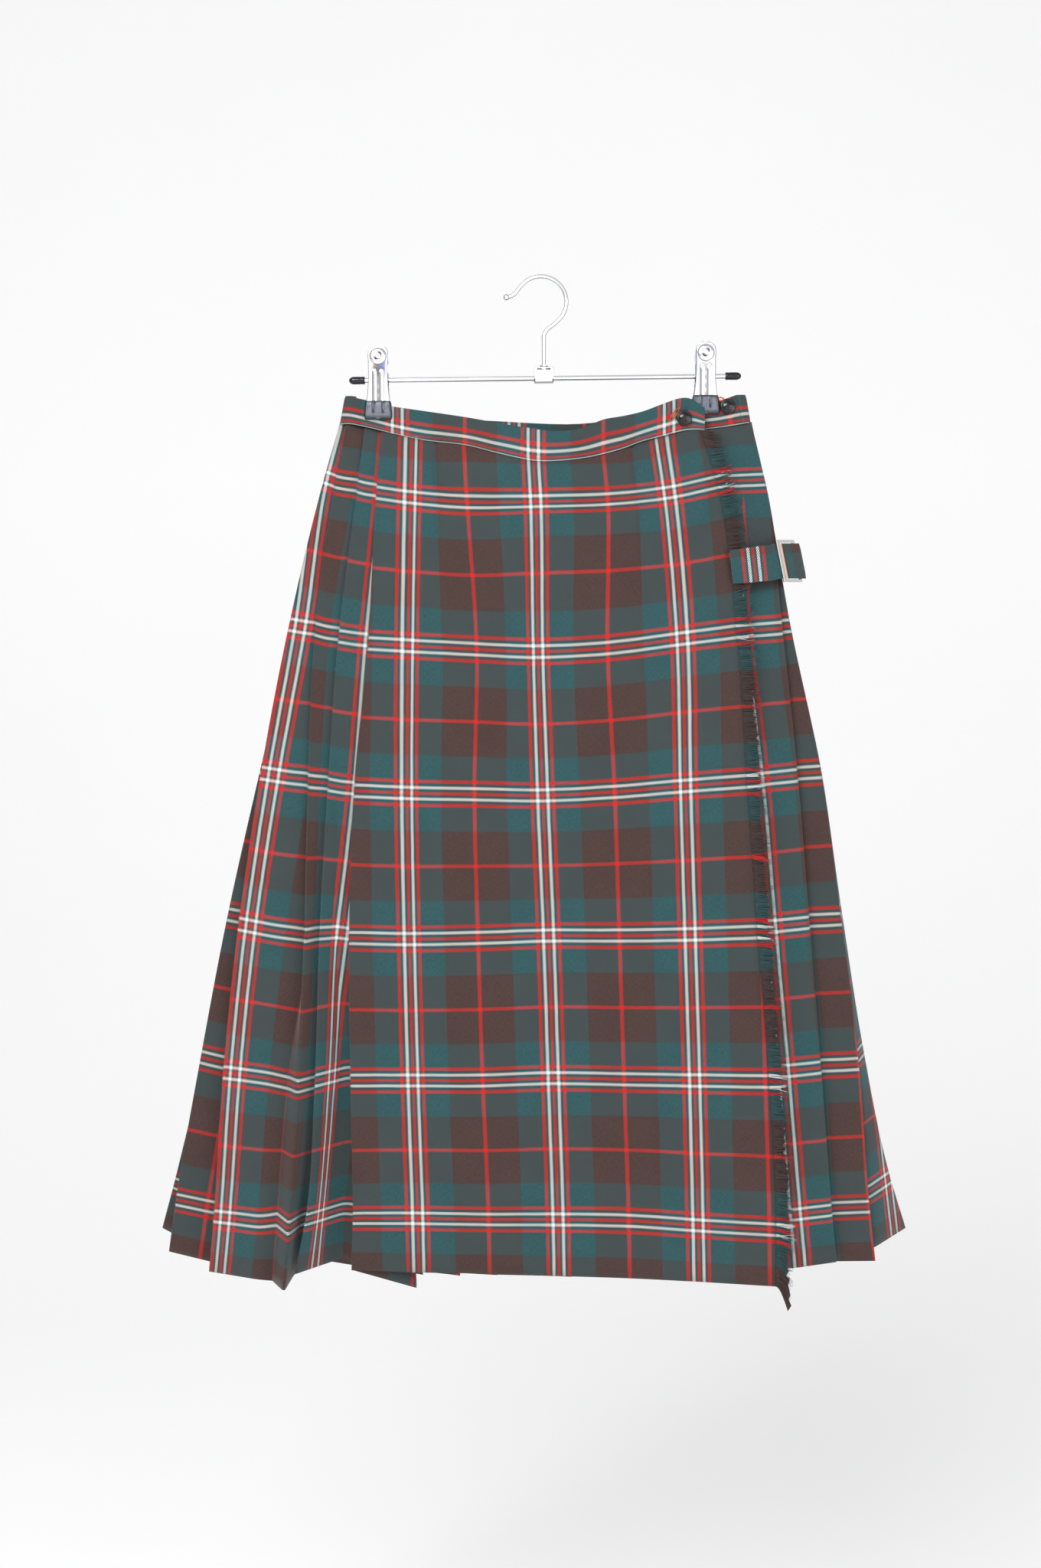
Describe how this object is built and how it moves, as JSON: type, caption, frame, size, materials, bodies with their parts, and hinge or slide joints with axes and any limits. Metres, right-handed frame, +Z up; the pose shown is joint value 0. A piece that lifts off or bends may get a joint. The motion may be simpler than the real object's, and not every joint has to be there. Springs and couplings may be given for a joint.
{
  "type": "scottish kilt on a trouser hanger",
  "caption": "Long pleated tartan wool kilt with a fringed wrap-over front, hip strap and buckle, clipped by its waistband to a wire trouser hanger.",
  "frame": {"origin": "top of the inside of the hanger's hook, where a rail carries it", "axes": "+Z up along the hook's neck, +X to the fringed edge's side, +Y from the front apron to the back pleats"},
  "size_m": [0.6416, 0.1037, 0.8621],
  "materials": {
    "tartan_wool": "worsted twill in brown, blue-green, red and white tartan",
    "fringe_wool": "loose wool threads",
    "button_gloss": "glossy black",
    "buckle_metal": "polished",
    "hanger_steel": "bright plated wire and sheet",
    "soft_vinyl": "soft black vinyl"
  },
  "bodies": {
    "root": {"over_apron": "tartan_wool", "pleats_left": "tartan_wool", "pleats_back_left": "tartan_wool", "pleats_back_right": "tartan_wool", "pleats_right": "tartan_wool", "under_apron": "tartan_wool", "waistband_over": "tartan_wool", "waistband_back": "tartan_wool", "waistband_under": "tartan_wool", "strap": "tartan_wool", "strap_tab": "tartan_wool", "fringe": "fringe_wool", "button_over": "button_gloss", "button_under": "button_gloss", "strap_buckle": "buckle_metal", "hanger_bar": "hanger_steel", "hanger_bracket": "hanger_steel", "hanger_hook": "hanger_steel", "hanger_hook_ball": "hanger_steel", "clip_left_coil": "hanger_steel", "clip_left_disc": "hanger_steel", "clip_left_front_leaf": "hanger_steel", "clip_left_back_leaf": "hanger_steel", "clip_right_coil": "hanger_steel", "clip_right_disc": "hanger_steel", "clip_right_front_leaf": "hanger_steel", "clip_right_back_leaf": "hanger_steel", "hanger_tip_left": "soft_vinyl", "hanger_tip_right": "soft_vinyl", "clip_left_front_jaw": "soft_vinyl", "clip_left_back_jaw": "soft_vinyl", "clip_right_front_jaw": "soft_vinyl", "clip_right_back_jaw": "soft_vinyl"}
  },
  "joints": []
}
